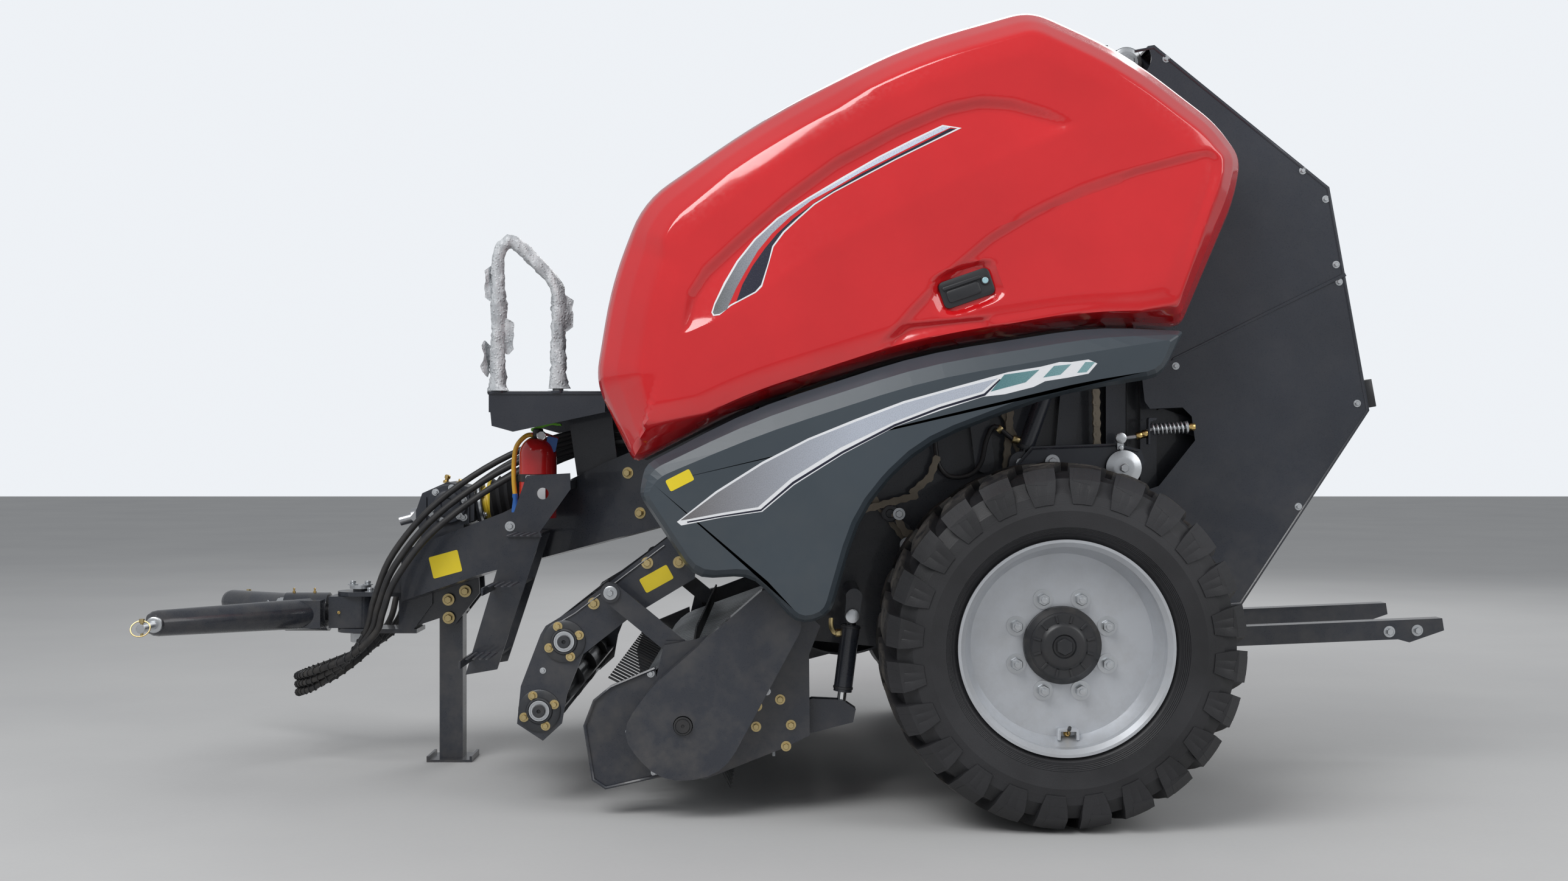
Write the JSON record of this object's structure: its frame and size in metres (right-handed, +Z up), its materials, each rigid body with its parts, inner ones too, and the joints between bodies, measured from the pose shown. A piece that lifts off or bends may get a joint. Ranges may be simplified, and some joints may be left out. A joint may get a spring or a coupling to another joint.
{
  "type": "round baler",
  "caption": "Towed round baler with a roller chamber in a lifting tailgate, gull-wing side doors, tined pickup with crop press, lower-link yoke hitch, parking stand and bale ramp.",
  "frame": {"origin": "on the ground under the middle of the machine", "axes": "+X towards the tailgate, -Y the left side of the machine, +Z up"},
  "size_m": [4.154, 2.54, 2.31],
  "materials": {
    "paint_dark": "satin dark blue-grey paint",
    "roller_steel": "dark paint, worn bright on the ribs",
    "rail_grey": "grey paint",
    "extinguisher_red": "gloss red",
    "guard_black": "matt black",
    "fairing_grey": "satin blue-grey moulding",
    "chain_steel": "oiled steel",
    "hose_black": "matt black rubber",
    "tyre": "matt black rubber",
    "rim_silver": "silver paint",
    "lamp_red": "clear red-orange lens",
    "chrome": "polished",
    "zinc": "bright zinc plating",
    "door_red": "gloss red",
    "tine_steel": "bare spring steel"
  },
  "bodies": {
    "chassis": {"drawbar": "paint_dark", "side_frame_left": "paint_dark", "side_frame_right": "paint_dark", "gate_feet": "paint_dark", "fairing_posts": "paint_dark", "cross_beams": "paint_dark", "axle": "paint_dark", "chamber_rollers": "roller_steel", "front_hood": "paint_dark", "platform": "paint_dark", "handrail": "rail_grey", "ladder": "paint_dark", "fire_extinguisher": "extinguisher_red", "gearbox": "paint_dark", "drive_shaft": "guard_black", "fairing_left": "fairing_grey", "fairing_right": "fairing_grey", "chain_drive": "chain_steel", "lock_levers": "paint_dark", "hose_upper": "hose_black", "hose_middle": "hose_black", "hose_lower": "hose_black"},
    "wheel_left": {"tyre_left": "tyre", "rim_left": "rim_silver"},
    "wheel_right": {"tyre_right": "tyre", "rim_right": "rim_silver"},
    "feed_rotor": {"feed_rotor": "roller_steel"},
    "tailgate": {"tailgate_frame": "paint_dark", "tailgate_shell": "paint_dark", "tailgate_rollers": "roller_steel", "tail_lamps": "lamp_red"},
    "gate_barrels": {"gate_barrels": "paint_dark"},
    "gate_rods": {"gate_rods": "chrome"},
    "door_left": {"door_left": "door_red"},
    "door_right": {"door_right": "door_red"},
    "parking_stand": {"parking_stand": "paint_dark"},
    "hitch_knuckle": {"hitch_knuckle": "paint_dark"},
    "hitch_yoke": {"hitch_yoke": "paint_dark", "link_pin_left": "zinc", "link_pin_right": "zinc"},
    "pickup": {"pickup_frame": "paint_dark", "pickup_strippers": "paint_dark", "pickup_cover": "paint_dark"},
    "pickup_reel": {"pickup_reel": "tine_steel"},
    "lift_barrels": {"lift_barrels": "paint_dark"},
    "lift_rods": {"lift_rods": "chrome"},
    "press_arms": {"press_arms": "paint_dark"},
    "press_links": {"press_links": "paint_dark"},
    "press_roller_upper": {"press_roller_upper": "paint_dark"},
    "press_roller_lower": {"press_roller_lower": "paint_dark"},
    "bale_ramp": {"bale_ramp": "paint_dark"}
  },
  "joints": [
    {"name": "wheel_left_spin", "type": "hinge", "parent": "chassis", "child": "wheel_left", "pos_m": [0.725, -1.02, 0.508], "axis": [0, 1, 0], "continuous": true},
    {"name": "wheel_right_spin", "type": "hinge", "parent": "chassis", "child": "wheel_right", "pos_m": [0.725, 1.02, 0.508], "axis": [0, 1, 0], "continuous": true},
    {"name": "feed_rotor_spin", "type": "hinge", "parent": "chassis", "child": "feed_rotor", "pos_m": [0.13, 0, 0.67], "axis": [0, 1, 0], "continuous": true},
    {"name": "tailgate_lift", "type": "hinge", "parent": "chassis", "child": "tailgate", "pos_m": [0.99, 0, 2.225], "axis": [0, -1, 0], "range_deg": [0, 55]},
    {"name": "gate_barrel_tilt", "type": "hinge", "parent": "chassis", "child": "gate_barrels", "pos_m": [0.661, 0, 1.01], "axis": [0, -1, 0], "range_deg": [-4.07, 0.05]},
    {"name": "gate_rod_slide", "type": "slide", "parent": "gate_barrels", "child": "gate_rods", "axis": [0.3361, 0, 0.9418], "range_m": [0, 0.144]},
    {"name": "door_left_open", "type": "hinge", "parent": "chassis", "child": "door_left", "pos_m": [0.64, -0.762, 2.296], "axis": [-1, 0, 0], "range_deg": [0, 65]},
    {"name": "door_right_open", "type": "hinge", "parent": "chassis", "child": "door_right", "pos_m": [0.64, 0.762, 2.296], "axis": [1, 0, 0], "range_deg": [0, 65]},
    {"name": "stand_raise", "type": "slide", "parent": "chassis", "child": "parking_stand", "axis": [0, 0, 1], "range_m": [0, 0.17]},
    {"name": "hitch_yaw", "type": "hinge", "parent": "chassis", "child": "hitch_knuckle", "pos_m": [-1.485, 0, 0.498], "axis": [0, 0, 1], "range_deg": [-60, 60]},
    {"name": "hitch_roll", "type": "hinge", "parent": "hitch_knuckle", "child": "hitch_yoke", "pos_m": [-1.64, 0, 0.498], "axis": [1, 0, 0], "range_deg": [-20, 20]},
    {"name": "pickup_lift", "type": "hinge", "parent": "chassis", "child": "pickup", "pos_m": [-0.005, 0, 0.56], "axis": [0, 1, 0], "range_deg": [0, 14]},
    {"name": "pickup_reel_spin", "type": "hinge", "parent": "pickup", "child": "pickup_reel", "pos_m": [-0.335, 0, 0.273], "axis": [0, 1, 0], "continuous": true},
    {"name": "lift_barrel_tilt", "type": "hinge", "parent": "chassis", "child": "lift_barrels", "pos_m": [0.148, 0, 0.57], "axis": [0, 1, 0], "range_deg": [0, 11.92]},
    {"name": "lift_rod_slide", "type": "slide", "parent": "lift_barrels", "child": "lift_rods", "axis": [-0.1245, 0, -0.9922], "range_m": [0, 0.0363]},
    {"name": "press_swing", "type": "hinge", "parent": "chassis", "child": "press_arms", "pos_m": [-0.327, 0, 0.762], "axis": [0, 1, 0], "range_deg": [0, 11.05]},
    {"name": "press_link_swing", "type": "hinge", "parent": "press_arms", "child": "press_links", "pos_m": [-0.551, 0, 0.638], "axis": [0, 1, 0], "range_deg": [-10.95, 0]},
    {"name": "press_roller_upper_spin", "type": "hinge", "parent": "press_arms", "child": "press_roller_upper", "pos_m": [-0.694, 0, 0.489], "axis": [0, 1, 0], "continuous": true},
    {"name": "press_roller_lower_spin", "type": "hinge", "parent": "press_arms", "child": "press_roller_lower", "pos_m": [-0.767, 0, 0.286], "axis": [0, 1, 0], "continuous": true},
    {"name": "ramp_tilt", "type": "hinge", "parent": "chassis", "child": "bale_ramp", "pos_m": [1.29, 0, 0.446], "axis": [0, 1, 0], "range_deg": [0, 25], "stiffness_Nm_per_rad": 900, "springref_deg": -28.65}
  ],
  "couplings": [
    {"joint": "gate_barrel_tilt", "follows": "tailgate_lift", "ratio": -0.073},
    {"joint": "gate_rod_slide", "follows": "tailgate_lift", "m_per_rad": 0.14952},
    {"joint": "lift_barrel_tilt", "follows": "pickup_lift", "ratio": 0.84786},
    {"joint": "lift_rod_slide", "follows": "pickup_lift", "m_per_rad": 0.14642},
    {"joint": "press_swing", "follows": "pickup_lift", "ratio": 0.78571},
    {"joint": "press_link_swing", "follows": "pickup_lift", "ratio": -0.77857}
  ]
}
